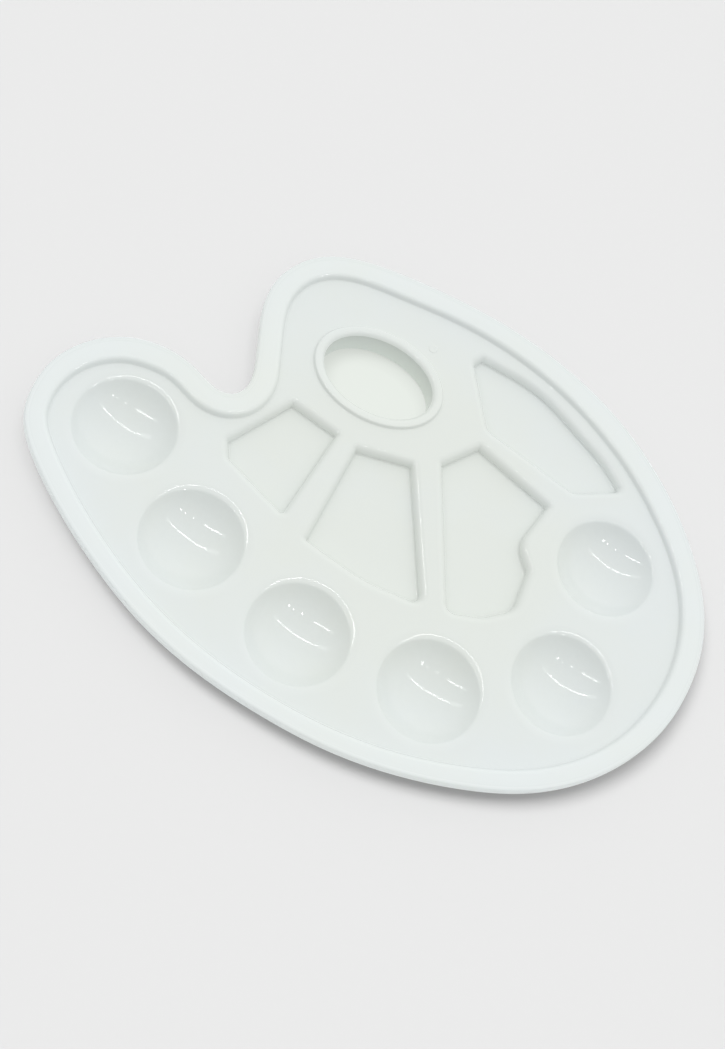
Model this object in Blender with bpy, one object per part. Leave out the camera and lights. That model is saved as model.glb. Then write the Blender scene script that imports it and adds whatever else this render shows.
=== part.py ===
"""Mixing palette: one injection-moulded shell in white plastic.

A kidney-shaped plate with a raised rim and a notch for the fingers, an oval
thumb hole with a collar and a skirt, six round paint wells along the near
edge and four flat-floored mixing wells in the middle.

Frame: +X along the palette, +Y towards the thumb hole, +Z up. The origin is
the centre of the palette's box on the table. Lengths below are millimetres.
"""

import math

import bmesh
import bpy
import numpy as np

MM = 0.001

# --- shell -------------------------------------------------------------------
DECK_Z = 9.8          # top of the flat deck above the table
WALL = 1.6            # moulded wall thickness
UNDER_Z = DECK_Z - WALL

# --- rim ---------------------------------------------------------------------
RIM_RISE = 1.9        # rim top above the deck
RIM_STEP = 1.0        # plan width of the straight part of the step from rim top to deck
RIM_ROUND = 1.8       # rounding over the top of that step
RIM_SHOULDER = 0.8    # rounding of the rim's outer shoulder
LIP_DROP = 1.1        # outer lip's lower edge below the deck's top
LIP_DRAFT = 0.12      # lean of the outer lip
LIP_EDGE = 0.92 * WALL  # width of the lip's lower edge
FOOT_FILLET = 0.6     # small rounding where the rim's step meets the deck
FOOT_MARGIN = 0.45    # deck between the foot of the step and the deck's flat face

# Outline stations, clockwise from above:
# x, y, width of the rim from its edge to the foot of its step
OUTLINE = (
    (-112.9, -18.1, 7.5), (-114.3, -6.5, 7.5), (-111.4, 5.5, 8.2), (-104.2, 15.0, 8.6),
    (-94.2, 21.2, 9.0), (-82.5, 23.0, 9.2), (-71.5, 20.5, 8.8), (-65.0, 17.2, 8.8),
    (-59.5, 15.6, 8.6), (-54.5, 17.6, 8.4), (-52.4, 23.0, 8.6), (-53.2, 31.0, 8.4),
    (-55.6, 41.0, 8.4), (-57.6, 51.5, 8.4), (-57.0, 62.0, 8.5), (-52.5, 71.6, 8.5),
    (-44.5, 79.0, 8.6), (-33.0, 83.0, 8.6), (-15.0, 84.2, 9.0), (3.0, 83.4, 8.6),
    (21.0, 81.1, 8.5), (39.0, 76.6, 8.8), (56.0, 69.8, 9.2), (71.0, 61.1, 9.4),
    (84.0, 50.5, 9.1), (95.6, 38.1, 8.9), (105.3, 24.0, 8.4), (112.5, 8.4, 8.5),
    (115.3, -7.5, 8.6), (113.8, -23.0, 8.2), (108.9, -38.1, 8.1), (100.5, -51.6, 7.6),
    (88.5, -63.5, 7.4), (72.1, -73.4, 7.4), (51.9, -79.7, 7.2), (30.0, -83.0, 6.9),
    (8.0, -83.2, 6.8), (-14.0, -80.2, 6.7), (-36.0, -74.8, 7.0), (-56.1, -66.7, 7.2),
    (-76.4, -54.3, 7.2), (-94.9, -39.7, 7.5), (-105.3, -29.4, 7.6),
)

# --- round paint wells -------------------------------------------------------
WELL_RADIUS = 17.1    # radius of the bowl's sphere at deck level
WELL_DEPTH = 8.2      # depth from the deck
WELL_SHOULDER = 10.0  # gentle rounding where the deck starts to fall into the well
SHOULDER_TILT = math.radians(14.0)  # slope where that rounding ends
WELL_EDGE = 2.0       # tighter rounding from there into the bowl
FOOT_SINK = 0.35      # how far each bowl's outside is flattened to make a foot
BOWL_RADIUS = (WELL_RADIUS**2 + WELL_DEPTH**2) / (2 * WELL_DEPTH)  # the sphere's own radius
BOWL_CENTRE_Z = DECK_Z - WELL_DEPTH + BOWL_RADIUS
WELL_CENTRES = (
    (-83.5, -7.9), (-51.1, -35.5), (-10.4, -52.1),
    (33.5, -54.0), (73.4, -36.1), (77.8, 8.1),
)

# --- mixing wells ------------------------------------------------------------
MIX_DEPTH = 3.2       # depth from the deck
MIX_LIP = 1.55        # edge of the wall inside the corner line
MIX_DRAFT = 0.4       # plan width of the wall's lean
MIX_ROUND = 2.9       # rounding from the deck into the well
MIN_CORNER = 0.35     # smallest corner radius left when a well's outline shrinks

# corners at deck level, counter-clockwise: x, y, corner radius
MIXING_WELLS = (
    ((-53.8, 1.2, 2.5), (-50.9, -5.9, 4.0), (-26.4, -18.4, 3.0), (-18.1, 18.7, 2.2),
     (-37.5, 24.1, 2.0)),
    ((-13.8, 16.6, 2.0), (-19.6, -22.4, 2.2), (3.2, -28.8, 60.0), (25.6, -29.4, 4.0),
     (7.6, 19.2, 2.4)),
    ((14.1, 22.2, 2.2), (30.7, -28.9, 5.0), (43.7, -25.8, 12.0), (53.9, -18.9, 8.0),
     (55.1, -2.9, 6.0), (49.7, 5.2, 7.0), (55.9, 22.8, 2.4), (25.8, 34.9, 1.8)),
    ((14.1, 62.8, 3.0), (26.0, 39.2, 6.0), (61.0, 28.6, 6.0), (79.2, 37.2, 3.0),
     (70.2, 46.4, 55.0), (40.8, 64.5, 55.0), (17.4, 67.7, 2.6)),
)

# --- thumb hole --------------------------------------------------------------
HOLE_CENTRE = (-13.5, 43.2)
HOLE_TURN = math.radians(-8.0)
COLLAR_AXES = (23.4, 17.6)    # half-axes of the collar's foot on the deck
COLLAR_WIDTH = 3.95           # collar, foot to hole
COLLAR_RISE = 1.0             # collar crest above the deck
COLLAR_RAMP = 0.75            # plan width of the outer slope up to the crest
COLLAR_SHOULDER = 0.7         # rounding from that slope into the crest
COLLAR_FLAT = 2.9             # where the crest's plane meets the slope into the hole
COLLAR_FALL = 1.08            # fall of that slope down to the edge of the hole
COLLAR_ROUND = 2.2            # rounding from the crest into the slope
COLLAR_CUT = 0.55             # the hole's wall under that edge stands back by this much
CUT_DROP = 0.6                # height over which it steps back
SKIRT_END_Z = 0.8             # lower edge of the thumb hole's skirt
SKIRT_DRAFT = 0.15            # widening of the hole over the skirt's height
SKIRT_EDGE = 0.9 * WALL       # width of the skirt's lower edge

# --- facets ------------------------------------------------------------------
SPAN_POINTS = 3       # points per outline station
WELL_POINTS = 30
HOLE_POINTS = 36
CORNER_POINTS = 4     # per corner of a mixing well
ARC_SEGMENTS = 3      # roundings of the rim and the collar
MIX_INSIDE_SEGMENTS = 5
MIX_OUTSIDE_SEGMENTS = 2
WELL_SHOULDER_SEGMENTS = 2
WELL_EDGE_SEGMENTS = 3
# rings on a bowl, as shares of the angle between the ends of its arc
INSIDE_SHARES = (0.72, 0.46, 0.22)
OUTSIDE_SHARES = (0.0, 0.36, 0.72, 1.0)

LEAD = 1.0            # helper segment that only gives a path its direction at one end


# --- curves ------------------------------------------------------------------
def closed_spline(stations, per_span):
    """Periodic cubic spline through the stations, spaced by chord length in plan."""
    knots = np.array(stations, float)
    count = len(knots)
    chord = np.linalg.norm((np.roll(knots, -1, 0) - knots)[:, :2], axis=1)
    matrix = np.zeros((count, count))
    target = np.zeros_like(knots)
    for i in range(count):
        j = (i + 1) % count
        matrix[i, i - 1] += chord[i - 1]
        matrix[i, i] += 2 * (chord[i - 1] + chord[i])
        matrix[i, j] += chord[i]
        target[i] = 6 * ((knots[j] - knots[i]) / chord[i]
                         - (knots[i] - knots[i - 1]) / chord[i - 1])
    bend = np.linalg.solve(matrix, target)  # second derivatives at the knots

    points = []
    for i in range(count):
        j = (i + 1) % count
        span = chord[i]
        for k in range(per_span):
            done = span * k / per_span
            left = span - done
            points.append(bend[i] * left**3 / (6 * span) + bend[j] * done**3 / (6 * span)
                          + (knots[i] / span - bend[i] * span / 6) * left
                          + (knots[j] / span - bend[j] * span / 6) * done)
    return np.array(points)


def inward_normals(points):
    """Unit normals to the inside of a clockwise loop."""
    tangent = np.roll(points, -1, 0) - np.roll(points, 1, 0)
    tangent /= np.linalg.norm(tangent, axis=1)[:, None]
    return np.column_stack([tangent[:, 1], -tangent[:, 0]])


def cross(first, second):
    return first[0] * second[1] - first[1] * second[0]


def fillet(corner, before, after, radius, segments):
    """Arc in place of a corner between the unit directions before and after it."""
    turn = math.atan2(cross(before, after), float(before @ after))
    side = math.copysign(1.0, turn)
    start = corner - before * radius * math.tan(abs(turn) / 2)
    centre = start + side * radius * np.array([-before[1], before[0]])
    spoke = start - centre
    first = math.atan2(spoke[1], spoke[0])
    angles = [first + turn * k / segments for k in range(segments + 1)]
    return [centre + radius * np.array([math.cos(a), math.sin(a)]) for a in angles]


def rounded_path(points, segments):
    """Open polyline (offset, z, radius) with each inner corner turned into an arc."""
    table = np.array(points, float)
    places = table[:, :2]
    path = [places[0]]
    for i in range(1, len(table) - 1):
        before, after = places[i] - places[i - 1], places[i + 1] - places[i]
        radius = table[i, 2]
        if radius == 0:
            path.append(places[i])
        else:
            path += fillet(places[i], before / np.linalg.norm(before),
                           after / np.linalg.norm(after), radius, segments)
    path.append(places[-1])
    return path


def rounded_polygon(corners, offset):
    """Counter-clockwise polygon grown by offset, each corner an arc."""
    table = np.array(corners, float)
    edges = []
    for here, following in zip(table, np.roll(table, -1, 0)):
        along = following[:2] - here[:2]
        along /= np.linalg.norm(along)
        edges.append((here[:2] + offset * np.array([along[1], -along[0]]), along))
    points = []
    for i, (place, after) in enumerate(edges):
        previous, before = edges[i - 1]
        bend = cross(before, after)
        corner = previous + cross(place - previous, after) / bend * before
        radius = max(table[i, 2] + math.copysign(1.0, bend) * offset, MIN_CORNER)
        points += fillet(corner, before, after, radius, CORNER_POINTS - 1)
    return np.array(points)


def ellipse(centre, half_x, half_y, count, turn=0.0):
    angle = np.arange(count) * 2 * math.pi / count
    x, y = half_x * np.cos(angle), half_y * np.sin(angle)
    cos, sin = math.cos(turn), math.sin(turn)
    return np.column_stack([centre[0] + x * cos - y * sin, centre[1] + x * sin + y * cos])


# The rim's edge, and the shift that puts the origin at the centre of its box
RIM_SPLINE = closed_spline(OUTLINE, SPAN_POINTS)
RIM_EDGE, RIM_WIDTH = RIM_SPLINE[:, :2], RIM_SPLINE[:, 2:3]
RIM_INWARD = inward_normals(RIM_EDGE)
BOX_CENTRE = (RIM_EDGE.max(0) + RIM_EDGE.min(0)) / 2


# --- mesh helpers ------------------------------------------------------------
def ring(bm, points, z):
    centre_x, centre_y = BOX_CENTRE
    return [bm.verts.new(((x - centre_x) * MM, (y - centre_y) * MM, z * MM)) for x, y in points]


def loft(bm, rings):
    """Quads between successive rings of equal count that run the same way."""
    for outer, inner in zip(rings, rings[1:]):
        for i in range(len(outer)):
            j = (i + 1) % len(outer)
            bm.faces.new((outer[i], outer[j], inner[j], inner[i]))


def cap(bm, loops):
    """Flat face between an outer loop and the holes in it; their edges already exist."""
    edges = [bm.edges.get((loop[i], loop[(i + 1) % len(loop)]))
             for loop in loops for i in range(len(loop))]
    bmesh.ops.triangle_fill(bm, use_beauty=True, use_dissolve=False, edges=edges)


def pocket(bm, sections):
    """Closed-bottomed recess through sections of (points, z); returns its open ring."""
    rings = [ring(bm, points, z) for points, z in sections]
    loft(bm, rings)
    cap(bm, [rings[-1]])
    return rings[0]


# --- rim ---------------------------------------------------------------------
def add_rim(bm):
    """Rim shell; returns its inner rings on the deck's top and underside."""
    top_z = DECK_Z + RIM_RISE
    lip_z = DECK_Z - LIP_DROP

    def rim_ring(inset, z):
        return ring(bm, RIM_EDGE + RIM_INWARD * inset, z)

    # from the lip's lower edge over the top to the deck
    lip = rounded_path([
        (0.0, lip_z, 0),
        (LIP_DRAFT, top_z, RIM_SHOULDER),
        (LIP_DRAFT + LEAD, top_z, 0),
    ], ARC_SEGMENTS)[:-1]
    step = rounded_path([
        (-RIM_STEP - LEAD, top_z, 0),
        (-RIM_STEP, top_z, RIM_ROUND),
        (0.0, DECK_Z, FOOT_FILLET),
        (FOOT_MARGIN, DECK_Z, 0),
    ], ARC_SEGMENTS)[1:]
    top = [rim_ring(inset, z) for inset, z in lip]
    top += [rim_ring(RIM_WIDTH + inset, z) for inset, z in step]
    loft(bm, top)

    # hollow under the rim; its step is set back to keep the wall's thickness
    slope = math.hypot(RIM_STEP, RIM_RISE)
    set_back = WALL * (slope - RIM_STEP) / RIM_RISE
    under = [
        top[0],
        rim_ring(LIP_EDGE, lip_z),
        rim_ring(WALL, top_z - WALL),
        rim_ring(RIM_WIDTH - RIM_STEP - set_back, top_z - WALL),
        rim_ring(RIM_WIDTH - set_back, UNDER_Z),
    ]
    loft(bm, under)
    return top[-1], under[-1]


# --- round paint wells -------------------------------------------------------
def bowl_inside():
    """Radius and height down a paint well, from the deck to the last ring above its centre."""
    # angle from the bowl's axis at which the tight rounding touches the sphere
    touch = math.acos((BOWL_CENTRE_Z - DECK_Z + WELL_EDGE * math.cos(SHOULDER_TILT)
                       + WELL_SHOULDER * (1 - math.cos(SHOULDER_TILT)))
                      / (BOWL_RADIUS + WELL_EDGE))
    edge_radius = ((BOWL_RADIUS + WELL_EDGE) * math.sin(touch)
                   - WELL_EDGE * math.sin(SHOULDER_TILT))
    edge_z = DECK_Z - WELL_SHOULDER * (1 - math.cos(SHOULDER_TILT))
    deck_radius = edge_radius + WELL_SHOULDER * math.sin(SHOULDER_TILT)

    profile = []
    for k in range(WELL_SHOULDER_SEGMENTS + 1):
        tilt = SHOULDER_TILT * k / WELL_SHOULDER_SEGMENTS
        profile.append((deck_radius - WELL_SHOULDER * math.sin(tilt),
                        DECK_Z - WELL_SHOULDER * (1 - math.cos(tilt))))
    for k in range(1, WELL_EDGE_SEGMENTS + 1):
        tilt = SHOULDER_TILT + (touch - SHOULDER_TILT) * k / WELL_EDGE_SEGMENTS
        profile.append((edge_radius - WELL_EDGE * (math.sin(tilt) - math.sin(SHOULDER_TILT)),
                        edge_z - WELL_EDGE * (math.cos(SHOULDER_TILT) - math.cos(tilt))))
    for share in INSIDE_SHARES:
        profile.append((BOWL_RADIUS * math.sin(touch * share),
                        BOWL_CENTRE_Z - BOWL_RADIUS * math.cos(touch * share)))
    return profile


def bowl_outside():
    """Radius and height down the outside of a paint well, from the deck's underside to its foot."""
    centre_z = BOWL_CENTRE_Z - FOOT_SINK
    shell = BOWL_RADIUS + WALL
    deck_angle = math.acos((centre_z - UNDER_Z) / shell)
    foot_angle = math.acos(centre_z / shell)
    angles = [deck_angle + (foot_angle - deck_angle) * share for share in OUTSIDE_SHARES]
    return [(shell * math.sin(a), centre_z - shell * math.cos(a)) for a in angles]


def add_paint_well(bm, centre):
    return tuple(
        pocket(bm, [(ellipse(centre, radius, radius, WELL_POINTS), z) for radius, z in profile])
        for profile in (bowl_inside(), bowl_outside()))


# --- mixing wells ------------------------------------------------------------
def mix_outer_offset(depth):
    """Offset of the wall's outer face, WALL away from its inner face, below the deck's top."""
    length = math.hypot(MIX_DRAFT, MIX_DEPTH)
    across, down = MIX_DEPTH / length, MIX_DRAFT / length
    return -MIX_LIP + WALL * across + (-depth + WALL * down) * (MIX_DRAFT / MIX_DEPTH)


def add_mixing_well(bm, corners):
    floor_z = DECK_Z - MIX_DEPTH
    inside = rounded_path([
        (-MIX_LIP + LEAD, DECK_Z, 0),
        (-MIX_LIP, DECK_Z, MIX_ROUND),
        (-MIX_LIP - MIX_DRAFT, floor_z, 0),
    ], MIX_INSIDE_SEGMENTS)[1:]
    deck_offset = mix_outer_offset(WALL)
    outside = rounded_path([
        (deck_offset + LEAD, UNDER_Z, 0),
        (deck_offset, UNDER_Z, MIX_ROUND - WALL),
        (mix_outer_offset(MIX_DEPTH + WALL), floor_z - WALL, 0),
    ], MIX_OUTSIDE_SEGMENTS)[1:]
    return tuple(
        pocket(bm, [(rounded_polygon(corners, offset), z) for offset, z in profile])
        for profile in (inside, outside))


# --- thumb hole --------------------------------------------------------------
def add_thumb_hole(bm):
    """Collar, bore, end of the skirt and outside of the skirt."""
    crest_z = DECK_Z + COLLAR_RISE
    edge_z = crest_z - COLLAR_FALL
    skirt = COLLAR_WIDTH - SKIRT_DRAFT
    section = rounded_path([
        (0.0, DECK_Z, 0),
        (COLLAR_RAMP, crest_z, COLLAR_SHOULDER),
        (COLLAR_FLAT, crest_z, COLLAR_ROUND),
        (COLLAR_WIDTH, edge_z, 0),
        (COLLAR_WIDTH - COLLAR_CUT, edge_z - CUT_DROP, 0),
        (skirt, SKIRT_END_Z, 0),
        (skirt - SKIRT_EDGE, SKIRT_END_Z, 0),
        (skirt - WALL, UNDER_Z, 0),
    ], ARC_SEGMENTS)
    half_x, half_y = COLLAR_AXES
    rings = [ring(bm, ellipse(HOLE_CENTRE, half_x - inset, half_y - inset,
                              HOLE_POINTS, HOLE_TURN), z)
             for inset, z in section]
    loft(bm, rings)
    return rings[0], rings[-1]


# --- palette -----------------------------------------------------------------
def white_plastic():
    material = bpy.data.materials.new("white_plastic")
    material.use_nodes = True
    inputs = material.node_tree.nodes["Principled BSDF"].inputs
    inputs["Base Color"].default_value = (0.80, 0.84, 0.82, 1.0)
    inputs["Roughness"].default_value = 0.22
    inputs["Metallic"].default_value = 0.0
    return material


def build_palette():
    bm = bmesh.new()
    # each part gives a ring on the deck's top and one on its underside
    borders = [add_rim(bm)]
    borders += [add_paint_well(bm, centre) for centre in WELL_CENTRES]
    borders += [add_mixing_well(bm, corners) for corners in MIXING_WELLS]
    borders.append(add_thumb_hole(bm))
    for loops in zip(*borders):
        cap(bm, loops)
    bmesh.ops.recalc_face_normals(bm, faces=bm.faces)

    mesh = bpy.data.meshes.new("palette")
    bm.to_mesh(mesh)
    bm.free()
    mesh.shade_smooth()
    mesh.set_sharp_from_angle(angle=math.radians(35))
    mesh.materials.append(white_plastic())
    palette = bpy.data.objects.new("palette", mesh)
    bpy.context.scene.collection.objects.link(palette)


for item in list(bpy.data.objects):
    bpy.data.objects.remove(item, do_unlink=True)
build_palette()
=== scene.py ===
"""Paint mixing palette: a thin moulded shell of glossy white plastic on a pale table.

Lengths are millimetres, scaled by MM where they enter the scene. +X runs along the palette,
+Y towards the thumb hole, +Z up. The origin is at the centre of the palette's outline, on
the table. The camera stands on the -Y side, so "front" is -Y and "back" is +Y.
"""

import math

import bmesh
import bpy
import numpy as np
from mathutils import Matrix, Vector
from mathutils.geometry import delaunay_2d_cdt
from mathutils.kdtree import KDTree


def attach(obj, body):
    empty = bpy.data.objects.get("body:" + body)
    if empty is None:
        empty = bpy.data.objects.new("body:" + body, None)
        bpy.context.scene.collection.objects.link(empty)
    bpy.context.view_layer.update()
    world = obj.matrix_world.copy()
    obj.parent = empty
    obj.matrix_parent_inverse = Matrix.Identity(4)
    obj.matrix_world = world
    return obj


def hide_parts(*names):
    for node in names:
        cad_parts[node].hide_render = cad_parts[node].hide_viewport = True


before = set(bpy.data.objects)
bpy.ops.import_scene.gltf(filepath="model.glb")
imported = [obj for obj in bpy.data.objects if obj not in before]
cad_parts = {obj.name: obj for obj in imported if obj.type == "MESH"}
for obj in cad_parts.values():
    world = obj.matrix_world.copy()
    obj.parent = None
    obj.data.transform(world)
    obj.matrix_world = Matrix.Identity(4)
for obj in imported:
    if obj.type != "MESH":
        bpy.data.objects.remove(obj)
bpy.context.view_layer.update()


MM = 0.001

# --- dimensions --------------------------------------------------------------------------
DECK_Z = 9.8                    # top of the deck
WALL = 1.6
UNDER_Z = DECK_Z - WALL         # underside of the deck

RIM_RISE = 1.9                  # rim above the deck
RIM_STEP = 1.0                  # horizontal run of the step down to the deck
RIM_ROUND = 1.8
RIM_SHOULDER = 0.8              # rounding of the rim's outer top edge
RIM_DRAFT = 0.12                # lean of the outer wall
RIM_CROWN = 0.05
RIM_Z = DECK_Z + RIM_RISE
LIP_Z = DECK_Z - 1.1            # lower edge of the outer lip
LIP_INSET = 0.9                 # where the outer and inner skins meet under the lip

WELL_R = 17.1                   # of the bowl's sphere where it meets the deck plane
WELL_DEPTH = 8.2
WELL_SHOULDER = 10.0            # radius of the gentle turn at the well's edge
SHOULDER_TILT = math.radians(14.0)
WELL_EDGE = 2.0                 # radius of the tighter turn into the bowl
WELL_SPHERE = (WELL_R**2 + WELL_DEPTH**2) / (2 * WELL_DEPTH)
WELL_CENTRE_Z = DECK_Z - WELL_DEPTH + WELL_SPHERE
FOOT_SINK = 0.35                # how far the outer sphere is lowered against the inner one
FOOT_ROUND = 1.0                # where the bowl leaves the underside of the deck

MIX_DEPTH = 3.2
MIX_LIP = 1.55                  # inset of the upper edge from the drawn corners
MIX_DRAFT = 0.4
MIX_ROUND = 2.9
MIX_FLOOR_Z = DECK_Z - MIX_DEPTH

HOLE_CENTRE = (-13.5, 43.2)
HOLE_TURN = math.radians(-8.0)
COLLAR_AXES = (23.4, 17.6)      # half-axes of the collar's outer ellipse
COLLAR_WIDTH = 3.95
COLLAR_FLAT = 2.9
COLLAR_FALL = 1.08
COLLAR_CUT = 0.55
COLLAR_ROUND = 2.2
COLLAR_RISE = 1.0
SKIRT_END_Z = 0.8
SKIRT_DRAFT = 0.15

MARK_CENTRE = (0.7, 61.7)
MARK_R = 1.65
MARK_RISE = 0.16

# Palette edge: x, y, width of the rim there
OUTLINE = (
    (-112.9, -18.1, 7.5), (-114.3, -6.5, 7.5), (-111.4, 5.5, 8.2), (-104.2, 15.0, 8.6),
    (-94.2, 21.2, 9.0), (-82.5, 23.0, 9.2), (-71.5, 20.5, 8.8), (-65.0, 17.2, 8.8),
    (-59.5, 15.6, 8.6), (-54.5, 17.6, 8.4), (-52.4, 23.0, 8.6), (-53.2, 31.0, 8.4),
    (-55.6, 41.0, 8.4), (-57.6, 51.5, 8.4), (-57.0, 62.0, 8.5), (-52.5, 71.6, 8.5),
    (-44.5, 79.0, 8.6), (-33.0, 83.0, 8.6), (-15.0, 84.2, 9.0), (3.0, 83.4, 8.6),
    (21.0, 81.1, 8.5), (39.0, 76.6, 8.8), (56.0, 69.8, 9.2), (71.0, 61.1, 9.4),
    (84.0, 50.5, 9.1), (95.6, 38.1, 8.9), (105.3, 24.0, 8.4), (112.5, 8.4, 8.5),
    (115.3, -7.5, 8.6), (113.8, -23.0, 8.2), (108.9, -38.1, 8.1), (100.5, -51.6, 7.6),
    (88.5, -63.5, 7.4), (72.1, -73.4, 7.4), (51.9, -79.7, 7.2), (30.0, -83.0, 6.9),
    (8.0, -83.2, 6.8), (-14.0, -80.2, 6.7), (-36.0, -74.8, 7.0), (-56.1, -66.7, 7.2),
    (-76.4, -54.3, 7.2), (-94.9, -39.7, 7.5), (-105.3, -29.4, 7.6),
)
# Centres of the round paint wells: x, y
WELLS = (
    (-83.5, -7.9), (-51.1, -35.5), (-10.4, -52.1), (33.5, -54.0), (73.4, -36.1), (77.8, 8.1),
)
# Corners of each mixing area, counter-clockwise: x, y, corner radius
MIXING = (
    ((-53.8, 1.2, 2.5), (-50.9, -5.9, 4.0), (-26.4, -18.4, 3.0), (-18.1, 18.7, 2.2),
     (-37.5, 24.1, 2.0)),
    ((-13.8, 16.6, 2.0), (-19.6, -22.4, 2.2), (3.2, -28.8, 60.0), (25.6, -29.4, 4.0),
     (7.6, 19.2, 2.4)),
    ((14.1, 22.2, 2.2), (30.7, -28.9, 5.0), (43.7, -25.8, 12.0), (53.9, -18.9, 8.0),
     (55.1, -2.9, 6.0), (49.7, 5.2, 7.0), (55.9, 22.8, 2.4), (25.8, 34.9, 1.8)),
    ((14.1, 62.8, 3.0), (26.0, 39.2, 6.0), (61.0, 28.6, 6.0), (79.2, 37.2, 3.0),
     (70.2, 46.4, 55.0), (40.8, 64.5, 55.0), (17.4, 67.7, 2.6)),
)

# --- fineness ----------------------------------------------------------------------------
SPAN_POINTS = 13                # along the edge, between two outline stations
CENTRING_SPAN_POINTS = 3        # the same, for the curve that centres the palette
WELL_POINTS = 112
HOLE_POINTS = 132
MARK_POINTS = 40
CORNER_POINTS = 9
EDGE_STEPS = 7                  # in each of the two turns at a well's edge
BOWL_STEPS = 19
FOOT_ROUND_STEPS = 5
FOOT_STEPS = 12
DECK_GRID = 3.2


# --- curves ------------------------------------------------------------------------------
def closed_spline(stations, per_span):
    """Periodic cubic spline through the stations, chord-length spaced."""
    knots = np.array(stations, float)
    count = len(knots)
    chord = np.linalg.norm((np.roll(knots, -1, 0) - knots)[:, :2], axis=1)
    system = np.zeros((count, count))
    target = np.zeros_like(knots)
    for i in range(count):
        j = (i + 1) % count
        system[i, i - 1] += chord[i - 1]
        system[i, i] += 2 * (chord[i - 1] + chord[i])
        system[i, j] += chord[i]
        target[i] = 6 * ((knots[j] - knots[i]) / chord[i]
                         - (knots[i] - knots[i - 1]) / chord[i - 1])
    bend = np.linalg.solve(system, target)     # second derivatives at the stations
    curve = []
    for i in range(count):
        j = (i + 1) % count
        span = chord[i]
        for step in range(per_span):
            done = span * step / per_span
            left = span - done
            curve.append(bend[i] * left**3 / (6 * span) + bend[j] * done**3 / (6 * span)
                         + (knots[i] / span - bend[i] * span / 6) * left
                         + (knots[j] / span - bend[j] * span / 6) * done)
    return np.array(curve)


def inward_normals(points):
    following = np.roll(points, -1, 0)
    tangent = following - np.roll(points, 1, 0)
    tangent /= np.linalg.norm(tangent, axis=1)[:, None]
    area = np.sum(points[:, 0] * following[:, 1] - following[:, 0] * points[:, 1])
    normal = np.column_stack([-tangent[:, 1], tangent[:, 0]])
    return normal if area > 0 else -normal


def cross_2d(a, b):
    return a[0] * b[1] - a[1] * b[0]


def turn_angle(before, after):
    """Signed angle between two unit directions."""
    return math.atan2(cross_2d(before, after), float(before @ after))


def fillet(corner, before, turn, radius, steps):
    """Arc that rounds a corner reached in direction before."""
    start = corner - before * (radius * math.tan(abs(turn) / 2))
    side = math.copysign(1.0, turn)
    centre = start + side * radius * np.array([-before[1], before[0]])
    first = math.atan2(*(start - centre)[::-1])
    angles = [first + turn * k / steps for k in range(steps + 1)]
    return [centre + radius * np.array([math.cos(a), math.sin(a)]) for a in angles]


def rounded_polygon(corners, offset):
    """Counter-clockwise polygon grown by offset, each corner an arc."""
    smallest_radius = 0.45
    corners = np.array(corners, float)
    edges = []
    for here, following in zip(corners, np.roll(corners, -1, 0)):
        along = following[:2] - here[:2]
        along /= np.linalg.norm(along)
        edges.append((here[:2] + offset * np.array([along[1], -along[0]]), along))
    outline = []
    for i, drawn_radius in enumerate(corners[:, 2]):
        (start_a, along_a), (start_b, along_b) = edges[i - 1], edges[i]
        reach = cross_2d(start_b - start_a, along_b) / cross_2d(along_a, along_b)
        turn = turn_angle(along_a, along_b)
        radius = max(drawn_radius + math.copysign(offset, offset * turn), smallest_radius)
        outline += fillet(start_a + reach * along_a, along_a, turn, radius, CORNER_POINTS - 1)
    return np.array(outline)


def rounded_path(points, steps):
    """Open polyline, its inner corners turned into arcs.

    Rows are (inset, height, rounding radius); end rows have no use for the radius.
    """
    path = [np.array(points[0][:2], float)]
    for before, here, after in zip(points, points[1:], points[2:]):
        radius = here[2]
        start, corner, end = (np.array(row[:2], float) for row in (before, here, after))
        heading = (corner - start) / np.linalg.norm(corner - start)
        leaving = (end - corner) / np.linalg.norm(end - corner)
        turn = turn_angle(heading, leaving)
        if radius <= 0 or abs(turn) < 1e-4:
            path.append(corner)
        else:
            path += fillet(corner, heading, turn, radius, steps)
    path.append(np.array(points[-1][:2], float))
    return path


def circle(centre, radius, count):
    a = np.arange(count) * 2 * math.pi / count
    return np.column_stack([centre[0] + radius * np.cos(a), centre[1] + radius * np.sin(a)])


def hole_ellipse(inset):
    a = np.arange(HOLE_POINTS) * 2 * math.pi / HOLE_POINTS
    x = (COLLAR_AXES[0] - inset) * np.cos(a)
    y = (COLLAR_AXES[1] - inset) * np.sin(a)
    cos, sin = math.cos(HOLE_TURN), math.sin(HOLE_TURN)
    return np.column_stack([HOLE_CENTRE[0] + x * cos - y * sin,
                            HOLE_CENTRE[1] + x * sin + y * cos])


# --- mesh store --------------------------------------------------------------------------
vertices, faces = [], []


def ring(points, z):
    """Store the points at height z and return their indices."""
    start = len(vertices)
    heights = np.broadcast_to(z, (len(points),))
    vertices.extend((float(x), float(y), float(h)) for (x, y), h in zip(points, heights))
    return list(range(start, len(vertices)))


def loft(rings):
    for a, b in zip(rings, rings[1:]):
        for i in range(len(a)):
            j = (i + 1) % len(a)
            faces.append((a[i], a[j], b[j], b[i]))


def loft_path(outline, path):
    """Loft outline(inset) along the path and return the first and last rings."""
    rings = [ring(outline(inset), z) for inset, z in path]
    loft(rings)
    return rings[0], rings[-1]


def fan(loop, centre, z):
    vertices.append((*centre, z))
    tip = len(vertices) - 1
    for i in range(len(loop)):
        faces.append((loop[i], loop[(i + 1) % len(loop)], tip))


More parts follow.
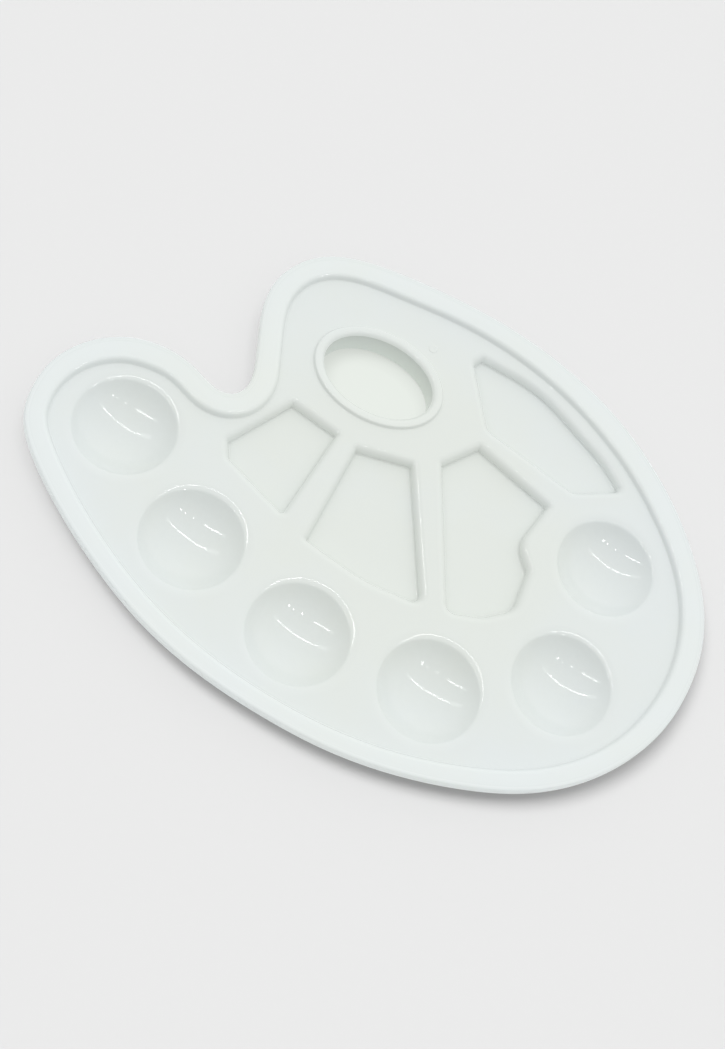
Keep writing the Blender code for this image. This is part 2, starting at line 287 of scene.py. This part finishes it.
def inside(points, loop):
    """Even-odd test of many points against one closed loop."""
    x, y = points[:, 0][:, None], points[:, 1][:, None]
    x0, y0 = loop[:, 0][None], loop[:, 1][None]
    x1, y1 = np.roll(loop[:, 0], -1)[None], np.roll(loop[:, 1], -1)[None]
    crosses = (y0 > y) != (y1 > y)
    crossing_x = x0 + (y - y0) * (x1 - x0) / np.where(y1 == y0, 1e-12, y1 - y0)
    return (np.sum(crosses & (x < crossing_x), axis=1) % 2) == 1


def inside_region(points, shapes):
    """Inside the first shape and outside all the others."""
    keep = inside(points, shapes[0])
    for shape in shapes[1:]:
        keep &= ~inside(points, shape)
    return keep


def fill(outer, holes, z, grid):
    """Triangles between an outer ring and the rings in it, over an even grid."""
    loops = [outer] + holes
    shapes = [np.array([vertices[i][:2] for i in loop]) for loop in loops]
    borders = np.vstack(shapes)
    low, high = shapes[0].min(0), shapes[0].max(0)
    rows = []
    for r, y in enumerate(np.arange(low[1], high[1], grid * math.sqrt(3) / 2)):
        xs = np.arange(low[0] + (r % 2) * grid / 2, high[0], grid)
        rows.append(np.column_stack([xs, np.full(len(xs), y)]))
    points = np.vstack(rows)
    points = points[inside_region(points, shapes)]
    clearance = np.array([np.min(np.hypot(*(borders - p).T)) for p in points])
    points = points[clearance > grid * 0.55]

    index = [i for loop in loops for i in loop] + ring(points, z)
    edges, base = [], 0
    for shape in shapes:
        count = len(shape)
        edges += [(base + i, base + (i + 1) % count) for i in range(count)]
        base += count
    flat = [Vector(p) for p in np.vstack([borders, points])]
    placed, _, triangles, origins, _, _ = delaunay_2d_cdt(flat, edges, [], 0, 1e-5)
    stored = [index[origin[0]] if origin else None for origin in origins]
    triangles = np.array(triangles)
    middles = np.array([[*p] for p in placed])[triangles].mean(1)
    for triangle in triangles[inside_region(middles, shapes)]:
        face = tuple(stored[i] for i in triangle)
        if None in face:
            raise RuntimeError("the rings of a flat area cross")
        faces.append(face)


# --- the moulding ------------------------------------------------------------------------
centring_curve = closed_spline(OUTLINE, CENTRING_SPAN_POINTS)[:, :2]
SHIFT = (centring_curve.max(0) + centring_curve.min(0)) / 2
edge_curve = closed_spline(OUTLINE, SPAN_POINTS)
edge_points, rim_width = edge_curve[:, :2], edge_curve[:, 2]
inward = inward_normals(edge_points)


def rim_ring(inset, z):
    """The palette's edge moved inwards by one inset, or by one for each point."""
    return ring(edge_points + inward * np.broadcast_to(inset, rim_width.shape)[:, None], z)


def add_rim():
    """Rim and lip, both skins; returns their last rings, on the deck and under it."""
    outer_path = rounded_path([
        (LIP_INSET, LIP_Z, 0), (0.0, LIP_Z, 0.35), (RIM_DRAFT, RIM_Z, RIM_SHOULDER),
        (1.9, RIM_Z, 0), (2.1, RIM_Z, 0),
    ], steps=8)
    # insets here count from the inner edge of the rim
    step_path = rounded_path([
        (-RIM_STEP - 1.35, RIM_Z, 0), (-RIM_STEP - 1.15, RIM_Z, 0),
        (-RIM_STEP, RIM_Z, RIM_ROUND), (0.0, DECK_Z, 0.6),
        (0.38, DECK_Z, 0), (0.45, DECK_Z, 0),
    ], steps=9)
    top = [rim_ring(inset, z) for inset, z in outer_path]
    for share in (0.25, 0.5, 0.75):      # the rim's top is very slightly crowned
        inset = outer_path[-1][0] * (1 - share) + (rim_width + step_path[0][0]) * share
        top.append(rim_ring(inset, RIM_Z + RIM_CROWN * math.sin(math.pi * share)))
    top += [rim_ring(rim_width + inset, z) for inset, z in step_path]
    loft(top)

    ceiling_z = RIM_Z - WALL
    # keeps the sloping wall of the step one wall thick
    step_in = WALL * (math.hypot(RIM_STEP, RIM_RISE) - RIM_STEP) / RIM_RISE
    lip_path = rounded_path([
        (LIP_INSET, LIP_Z, 0), (WALL * 0.92, LIP_Z, 0.3), (WALL, ceiling_z, 0.5),
        (WALL + 1.4, ceiling_z, 0),
    ], steps=5)
    hollow_path = rounded_path([
        (-RIM_STEP - step_in - 0.9, ceiling_z, 0), (-RIM_STEP - step_in, ceiling_z, 0.5),
        (-step_in, UNDER_Z, 0.6), (-0.4, UNDER_Z, 0), (0.0, UNDER_Z, 0),
    ], steps=5)
    under = [top[0]] + [rim_ring(inset, z) for inset, z in lip_path[1:]]
    under += [rim_ring(rim_width + inset, z) for inset, z in hollow_path]
    loft(under)
    return top[-1], under[-1]


def bowl_inside():
    """Radius and height down a paint well, from the deck to just short of its centre.

    The edge turns gently at first and then more tightly into the bowl's sphere.
    """
    tilt = SHOULDER_TILT
    steep = math.acos((WELL_CENTRE_Z - DECK_Z + WELL_EDGE * math.cos(tilt)
                       + WELL_SHOULDER * (1 - math.cos(tilt))) / (WELL_SPHERE + WELL_EDGE))
    edge_r = (WELL_SPHERE + WELL_EDGE) * math.sin(steep) - WELL_EDGE * math.sin(tilt)
    edge_z = DECK_Z - WELL_SHOULDER * (1 - math.cos(tilt))
    start_r = edge_r + WELL_SHOULDER * math.sin(tilt)
    path = [(start_r + 0.35, DECK_Z)]
    for k in range(EDGE_STEPS + 1):
        a = tilt * k / EDGE_STEPS
        path.append((start_r - WELL_SHOULDER * math.sin(a),
                     DECK_Z - WELL_SHOULDER * (1 - math.cos(a))))
    for k in range(1, EDGE_STEPS + 1):
        a = tilt + (steep - tilt) * k / EDGE_STEPS
        path.append((edge_r - WELL_EDGE * (math.sin(a) - math.sin(tilt)),
                     edge_z - WELL_EDGE * (math.cos(tilt) - math.cos(a))))
    for k in range(1, BOWL_STEPS):
        a = steep * (1 - k / BOWL_STEPS)
        path.append((WELL_SPHERE * math.sin(a), WELL_CENTRE_Z - WELL_SPHERE * math.cos(a)))
    return path


def bowl_outside():
    """Radius and height down the outside of a well, to its flat foot on the table."""
    centre_z = WELL_CENTRE_Z - FOOT_SINK
    shell = WELL_SPHERE + WALL
    # concave rounding where the bowl leaves the underside of the deck
    round_z = UNDER_Z - FOOT_ROUND
    round_r = math.sqrt((shell + FOOT_ROUND)**2 - (centre_z - round_z)**2)
    sweep = math.pi / 2 - math.atan2(centre_z - round_z, round_r)
    path = [(round_r + 0.35, UNDER_Z)]
    for k in range(FOOT_ROUND_STEPS + 1):
        a = math.pi / 2 + k / FOOT_ROUND_STEPS * sweep
        path.append((round_r + FOOT_ROUND * math.cos(a), round_z + FOOT_ROUND * math.sin(a)))
    rest = math.acos(centre_z / shell)          # where the sphere meets the table
    for k in range(1, FOOT_STEPS + 1):
        a = sweep + (rest - sweep) * k / FOOT_STEPS
        path.append((shell * math.sin(a), centre_z - shell * math.cos(a)))
    path.append((path[-1][0] * 0.9, 0.0))
    return path


def add_well(centre):
    openings = []
    for path, tip_z in ((bowl_inside(), WELL_CENTRE_Z - WELL_SPHERE), (bowl_outside(), 0.0)):
        first, last = loft_path(lambda radius: circle(centre, radius, WELL_POINTS), path)
        fan(last, centre, tip_z)
        openings.append(first)
    return openings


def mix_under_offset(depth):
    """Offset of the draft wall's outer face at a depth below the deck's top."""
    length = math.hypot(MIX_DRAFT, MIX_DEPTH)
    normal_out, normal_z = MIX_DEPTH / length, -MIX_DRAFT / length
    return (-MIX_LIP + WALL * normal_out
            + (-depth - WALL * normal_z) * (MIX_DRAFT / MIX_DEPTH))


def add_mixing_area(corners):
    foot = -MIX_LIP - MIX_DRAFT
    inner_path = rounded_path([
        (1.13, DECK_Z, 0), (1.04, DECK_Z, 0), (-MIX_LIP, DECK_Z, MIX_ROUND),
        (foot, MIX_FLOOR_Z, 0.8), (foot - 0.75, MIX_FLOOR_Z, 0), (foot - 0.95, MIX_FLOOR_Z, 0),
    ], steps=9)
    bottom_z = MIX_FLOOR_Z - WALL
    upper = mix_under_offset(WALL)
    lower = mix_under_offset(MIX_DEPTH + WALL)
    outer_path = rounded_path([
        (upper + 1.25, UNDER_Z, 0), (upper, UNDER_Z, MIX_ROUND - WALL),
        (lower, bottom_z, 0.7), (lower - 0.7, bottom_z, 0),
    ], steps=5)
    openings = []
    for path, z, grid in ((inner_path, MIX_FLOOR_Z, DECK_GRID * 1.3),
                          (outer_path, bottom_z, DECK_GRID * 2)):
        first, last = loft_path(lambda offset: rounded_polygon(corners, offset), path)
        fill(last, [], z, grid)
        openings.append(first)
    return openings


def add_collar():
    """Raised collar round the thumb hole and the skirt that hangs from it."""
    crest_z = DECK_Z + COLLAR_RISE
    brink_z = crest_z - COLLAR_FALL
    skirt = COLLAR_WIDTH - SKIRT_DRAFT
    behind_skirt = COLLAR_WIDTH - WALL - SKIRT_DRAFT
    return loft_path(hole_ellipse, rounded_path([
        (-0.8, DECK_Z, 0), (-0.45, DECK_Z, 0), (0.15, DECK_Z, 0.5), (0.75, crest_z, 0.7),
        (COLLAR_FLAT, crest_z, COLLAR_ROUND), (COLLAR_WIDTH, brink_z, 0.14),
        (COLLAR_WIDTH - COLLAR_CUT, brink_z - 0.6, 0.3), (skirt, SKIRT_END_Z, 0.25),
        (skirt - WALL * 0.9, SKIRT_END_Z, 0.35),
        (behind_skirt, UNDER_Z, 0.6), (behind_skirt - 1.3, UNDER_Z, 0),
    ], steps=7))


def add_mark():
    """Round moulding mark standing very slightly proud of the deck."""
    mark_z = DECK_Z + MARK_RISE
    first, last = loft_path(lambda radius: circle(MARK_CENTRE, radius, MARK_POINTS), rounded_path([
        (MARK_R + 0.5, DECK_Z, 0), (MARK_R, DECK_Z, 0.25), (MARK_R - 0.25, mark_z, 0.25),
        (MARK_R - 0.8, mark_z, 0), (0.4, DECK_Z + 0.12, 0),
    ], steps=4))
    fan(last, MARK_CENTRE, DECK_Z + 0.11)
    return first


def add_shell():
    rim_top, rim_under = add_rim()
    openings = [add_well(centre) for centre in WELLS]
    openings += [add_mixing_area(corners) for corners in MIXING]
    openings.append(add_collar())
    top_holes = [top for top, _ in openings] + [add_mark()]
    fill(rim_top, top_holes, DECK_Z, DECK_GRID)
    fill(rim_under, [under for _, under in openings], UNDER_Z, DECK_GRID * 1.5)


def add_shoulder_attribute(mesh):
    """Mark how much a point belongs to the rim's outer shoulder, duller than the rest."""
    full_within, fade = 1.4, 0.8       # distance from the edge, then the fade to none
    tree = KDTree(len(edge_points))
    for i, (x, y) in enumerate(edge_points):
        tree.insert(Vector(((x - SHIFT[0]) * MM, (y - SHIFT[1]) * MM, 0.0)), i)
    tree.balance()
    distance = np.array([tree.find(Vector((v.co.x, v.co.y, 0.0)))[2] / MM
                         for v in mesh.vertices])
    shoulder = np.clip((full_within + fade - distance) / fade, 0.0, 1.0)
    attribute = mesh.attributes.new("shoulder", "FLOAT", "POINT")
    attribute.data.foreach_set("value", shoulder.astype(np.float32))


def link_object(name, data):
    made = bpy.data.objects.new(name, data)
    bpy.context.scene.collection.objects.link(made)
    return made


def make_palette():
    add_shell()
    points = np.array(vertices)
    points[:, :2] -= SHIFT
    mesh = bpy.data.meshes.new("palette_shell")
    mesh.from_pydata((points * MM).tolist(), [], faces)
    bm = bmesh.new()
    bm.from_mesh(mesh)
    bmesh.ops.remove_doubles(bm, verts=bm.verts, dist=1e-8)
    bmesh.ops.recalc_face_normals(bm, faces=bm.faces)
    bm.to_mesh(mesh)
    bm.free()
    mesh.shade_smooth()
    add_shoulder_attribute(mesh)
    return link_object("palette_shell", mesh)


# --- shader helpers ----------------------------------------------------------------------
def set_inputs(target, inputs):
    """Link each input whose value is a socket; set the others."""
    for key, value in inputs.items():
        if isinstance(value, bpy.types.NodeSocket):
            target.id_data.links.new(value, target.inputs[key])
        else:
            target.inputs[key].default_value = value


def node(tree, kind, inputs, **settings):
    made = tree.nodes.new(kind)
    for key, value in settings.items():
        setattr(made, key, value)
    set_inputs(made, inputs)
    return made


def noise(tree, where, scale, detail, roughness):
    inputs = {"Vector": where, "Scale": scale, "Detail": detail, "Roughness": roughness}
    return node(tree, "ShaderNodeTexNoise", inputs).outputs["Fac"]


def ramp(tree, value, across, to, **settings):
    """Map value from the range across to the range to."""
    return node(tree, "ShaderNodeMapRange", {
        "From Min": across[0], "From Max": across[1],
        "To Min": to[0], "To Max": to[1], "Value": value,
    }, **settings).outputs["Result"]


def calculate(tree, operation, a, b, clamp=False):
    return node(tree, "ShaderNodeMath", {0: a, 1: b},
                operation=operation, use_clamp=clamp).outputs["Value"]


def mix(tree, kind, factor, a, b):
    return node(tree, "ShaderNodeMix", {"Factor": factor, "A": a, "B": b},
                data_type=kind).outputs["Result"]


def vector_length(tree, vector):
    return node(tree, "ShaderNodeVectorMath", {0: vector}, operation="LENGTH").outputs["Value"]


def scaled(tree, vector, scale):
    return node(tree, "ShaderNodeVectorMath", {0: vector, "Scale": scale},
                operation="SCALE").outputs["Vector"]


def hole_distance(tree, where, z_unit, move=(0.0, 0.0)):
    """Distance from the thumb hole's centre, in units of the collar's half-axes."""
    mapping = node(tree, "ShaderNodeMapping", {
        "Vector": where,
        "Location": ((HOLE_CENTRE[0] - SHIFT[0] + move[0]) * MM,
                     (HOLE_CENTRE[1] - SHIFT[1] + move[1]) * MM, 0),
        "Rotation": (0, 0, HOLE_TURN),
        "Scale": (COLLAR_AXES[0] * MM, COLLAR_AXES[1] * MM, z_unit),
    }, vector_type="TEXTURE")
    return vector_length(tree, mapping.outputs["Vector"])


def start_material(name):
    """A new material, its node tree, its shader and the object coordinates."""
    material = bpy.data.materials.new(name)
    material.use_nodes = True
    tree = material.node_tree
    where = tree.nodes.new("ShaderNodeTexCoord").outputs["Object"]
    return material, tree, tree.nodes["Principled BSDF"], where


# --- materials ---------------------------------------------------------------------------
def plastic_material():
    material, tree, shader, where = start_material("white_plastic_gloss")
    height = node(tree, "ShaderNodeSeparateXYZ", {0: where}).outputs["Z"]

    def height_ramp(low, high, to):
        return ramp(tree, height, across=(low * MM, high * MM), to=to)

    # the pigment is faintly clouded, and a little yellower in the middle
    middle = ramp(tree, vector_length(tree, where), across=(0.035, 0.100), to=(1.0, 0.0))
    cloud = ramp(tree, noise(tree, where, scale=28.0, detail=4.0, roughness=0.55),
                 across=(0.35, 0.65), to=(-0.25, 0.25))
    yellowing = calculate(tree, "ADD", middle, cloud, clamp=True)
    tint = mix(tree, "RGBA", yellowing, a=(0.801, 0.848, 0.842, 1), b=(0.801, 0.841, 0.797, 1))

    # painted light: the rim is painted lighter than the deck below it, though both face up alike
    painted_rim_light = height_ramp(DECK_Z + 0.5, DECK_Z + 1.7, to=(1.0, 1.045))
    # and the wall of the thumb hole is painted darker as painted shade, less so towards its foot
    near_hole = ramp(tree, hole_distance(tree, where, z_unit=1000.0),
                     across=(0.86, 0.88), to=(1.0, 0.0))
    below = height_ramp(DECK_Z - 0.5, DECK_Z + 0.1, to=(1.0, 0.0))
    wall = calculate(tree, "MULTIPLY", near_hole, below)
    painted_wall_shade = calculate(tree, "MULTIPLY", wall, height_ramp(1.5, DECK_Z - 1.0, to=(0.2, 1.0)))
    hole_wall_shade_factor = ramp(tree, painted_wall_shade, across=(0.0, 1.0), to=(1.0, 0.84))
    # painted light and shade: the rim's painted light times the hole wall's painted shade
    painted_light_level = calculate(tree, "MULTIPLY", painted_rim_light, hole_wall_shade_factor)

    # painted light: the thin outer lip glows faintly, and the shoulder above it is painted a
    # little darker as painted shade
    shoulder = node(tree, "ShaderNodeAttribute", {}, attribute_name="shoulder").outputs["Fac"]
    painted_lip_glow = calculate(tree, "MULTIPLY", shoulder,
                    height_ramp(DECK_Z + 1.35, DECK_Z + 1.85, to=(1.0, 0.0)))
    painted_shoulder_shade = ramp(tree, calculate(tree, "SUBTRACT", shoulder, painted_lip_glow),
                across=(0.0, 1.0), to=(1.0, 0.97))

    # gloss: polished, with soft patches from handling and a dull shoulder
    patches = ramp(tree, noise(tree, where, scale=55.0, detail=5.0, roughness=0.6),
                   across=(0.35, 0.7), to=(0.045, 0.10))

    # surface: long soft waves left by the moulding and a fine skin
    waves = node(tree, "ShaderNodeBump", {
        "Strength": 0.35, "Distance": 0.0004,
        "Height": noise(tree, where, scale=90.0, detail=2.0, roughness=0.4),
    })
    skin = node(tree, "ShaderNodeBump", {
        "Strength": 0.12, "Distance": 0.00004,
        "Height": noise(tree, where, scale=900.0, detail=3.0, roughness=0.5),
        "Normal": waves.outputs["Normal"],
    })
    # the base colour carries the painted rim light and the painted shade; the emission is the
    # lip's painted glow
    set_inputs(shader, {
        "Base Color": scaled(tree, tint, calculate(tree, "MULTIPLY", painted_light_level, painted_shoulder_shade)),
        "Emission Color": tint,
        "Emission Strength": ramp(tree, painted_lip_glow, across=(0.0, 1.0), to=(0.0, 0.07)),
        "Roughness": mix(tree, "FLOAT", shoulder, a=patches, b=0.42),
        "IOR": 1.5,
        "Subsurface Weight": 0.0,
        "Normal": skin.outputs["Normal"],
    })
    return material


def table_material():
    """A pale table lit from behind and from above, as on a light table, with a pool of light
    painted into its glow under the thumb hole.
    """
    material, tree, shader, where = start_material("pale_table")
    hole_glow_mask = ramp(tree, hole_distance(tree, where, z_unit=1), across=(1.15, 1.5), to=(1.0, 0.0))

    # fine grain; under the hole the table's colour is dimmed, so the painted glow there gives
    # nearly all its brightness
    grain = mix(tree, "RGBA", noise(tree, where, scale=400.0, detail=2.0, roughness=0.5),
                a=(0.1685, 0.1685, 0.1685, 1), b=(0.1715, 0.1715, 0.1715, 1))
    paper = mix(tree, "RGBA", hole_glow_mask, a=grain, b=(0.045, 0.046, 0.0445, 1))

    # painted light: under the hole the table glows, a pool of light painted into it;
    # painted shade: the glow is a little weaker towards the foot of the back wall
    off_centre = hole_distance(tree, where, z_unit=1, move=(0.5, -4.0))
    under = scaled(tree, (0.658, 0.695, 0.651),
                   ramp(tree, off_centre, across=(0.70, 1.0), to=(1.0, 0.90)))
    set_inputs(shader, {
        "Base Color": paper,
        "Emission Color": mix(tree, "RGBA", hole_glow_mask, a=(0.213, 0.213, 0.213, 1), b=under),
        "Emission Strength": 1.0,
        "Roughness": 1.0,
        "Specular IOR Level": 0.0,
    })
    return material


palette = make_palette()
palette.data.materials.append(plastic_material())
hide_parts("palette")
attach(palette, "root")

# --- stage -------------------------------------------------------------------------------
# Long thin lights: name, start, end, width, brightness
STRIPS = (
    # a long bent tube high over the back
    ("tube_back_right", (430, -48, 557), (-29, 78, 759), 13, 16.5),
    ("tube_back_left", (-29, 78, 759), (-385, 133, 550), 13, 16.5),
    ("tube_back_end", (-385, 133, 550), (-560, 160, 448), 70, 1.4),
    ("tube_back_start", (540, -76, 510), (430, -48, 557), 50, 1.3),
    # a shorter one at the front left
    ("tube_front", (-190, -289, 608), (-480, -177, 460), 17, 14.0),
    ("tube_front_end", (-480, -177, 460), (-560, -147, 420), 40, 1.5),
    # three small lamps at the front right
    ("lamp_a", (375, -376, 522), (333, -376, 538), 40, 12.0),
    ("lamp_b", (258, -360, 574), (240, -360, 574), 19, 36.0),
    ("lamp_c", (62, -345, 608), (42, -345, 608), 20, 32.0),
)
# Suns for the table alone: name, direction towards the sun, angular size (degrees), energy
TABLE_LAMPS = (
    ("table_lamp_left", (-0.43, 0.0, 1.0), 27, 7.5),
    ("table_lamp_right", (0.08, 0.04, 1.0), 24, 1.55),
)


def make_table():
    bpy.ops.mesh.primitive_plane_add(size=6.0, location=(0, 0, -0.0002))
    table = bpy.context.object
    table.name = "table_top"
    table.data.materials.append(table_material())
    return table


def make_world():
    """A white sky, brightest overhead and at the back."""
    world = bpy.data.worlds.new("studio")
    bpy.context.scene.world = world
    world.use_nodes = True
    tree = world.node_tree
    tree.nodes.clear()
    facing = node(tree, "ShaderNodeVectorMath", {
        0: tree.nodes.new("ShaderNodeTexCoord").outputs["Generated"],
        1: Vector((0.10, 0.45, 0.90)).normalized(),
    }, operation="DOT_PRODUCT").outputs["Value"]
    strength = ramp(tree, facing, across=(0.0, 0.72), to=(0.53, 1.095),
                    interpolation_type="SMOOTHSTEP")
    sky = node(tree, "ShaderNodeBackground", {"Strength": strength, "Color": (1.0, 1.0, 1.0, 1)})
    node(tree, "ShaderNodeOutputWorld", {"Surface": sky.outputs["Background"]})


def axes_matrix(place, x, y, z):
    return Matrix.Translation(place) @ Matrix((x, y, z)).transposed().to_4x4()


def make_strip(name, start, end, width, brightness):
    """A light between two points, facing the palette, seen only as a highlight."""
    start, end = Vector(start) * MM, Vector(end) * MM
    data = bpy.data.lights.new(name, "AREA")
    data.shape = "RECTANGLE"
    data.size = (end - start).length
    data.size_y = width * MM
    data.energy = brightness * data.size * data.size_y * math.pi
    lamp = link_object(name, data)
    middle = (start + end) / 2
    x = (end - start).normalized()
    away = (middle - Vector((0, 0, 0.01))).normalized()
    y = away.cross(x).normalized()
    lamp.matrix_world = axes_matrix(middle, x, y, x.cross(y))
    lamp.visible_diffuse = False


def make_table_lamps(table):
    """Two suns, the stronger leaning to the left, that light the table and not the palette."""
    table_only = bpy.data.collections.new("table_only")
    table_only.objects.link(table)
    for name, towards, angle, energy in TABLE_LAMPS:
        sun = bpy.data.lights.new(name, "SUN")
        sun.energy = energy
        sun.angle = math.radians(angle)
        lamp = link_object(name, sun)
        lamp.rotation_euler = Vector(towards).to_track_quat("Z", "Y").to_euler()
        lamp.light_linking.receiver_collection = table_only


def make_camera():
    data = bpy.data.cameras.new("camera")
    camera = link_object("camera", data)
    data.sensor_fit = "AUTO"
    data.sensor_width = 36.0
    data.lens = 51.477598
    right = Vector((0.9267, 0.2922, 0.2364)).normalized()
    ahead = Vector((0.0906, 0.4369, -0.8949)).normalized()
    up = right.cross(ahead).normalized()
    right = ahead.cross(up).normalized()       # now square to both
    place = Vector((-45.8 - SHIFT[0], -217.8 - SHIFT[1], 436.2)) * MM
    camera.matrix_world = axes_matrix(place, right, up, -ahead)
    bpy.context.scene.camera = camera


table = make_table()
make_world()
for strip in STRIPS:
    make_strip(*strip)
make_table_lamps(table)
make_camera()

view = bpy.context.scene.view_settings
view.view_transform = "Standard"
view.look = "None"
view.exposure = 0.0
view.gamma = 1.0
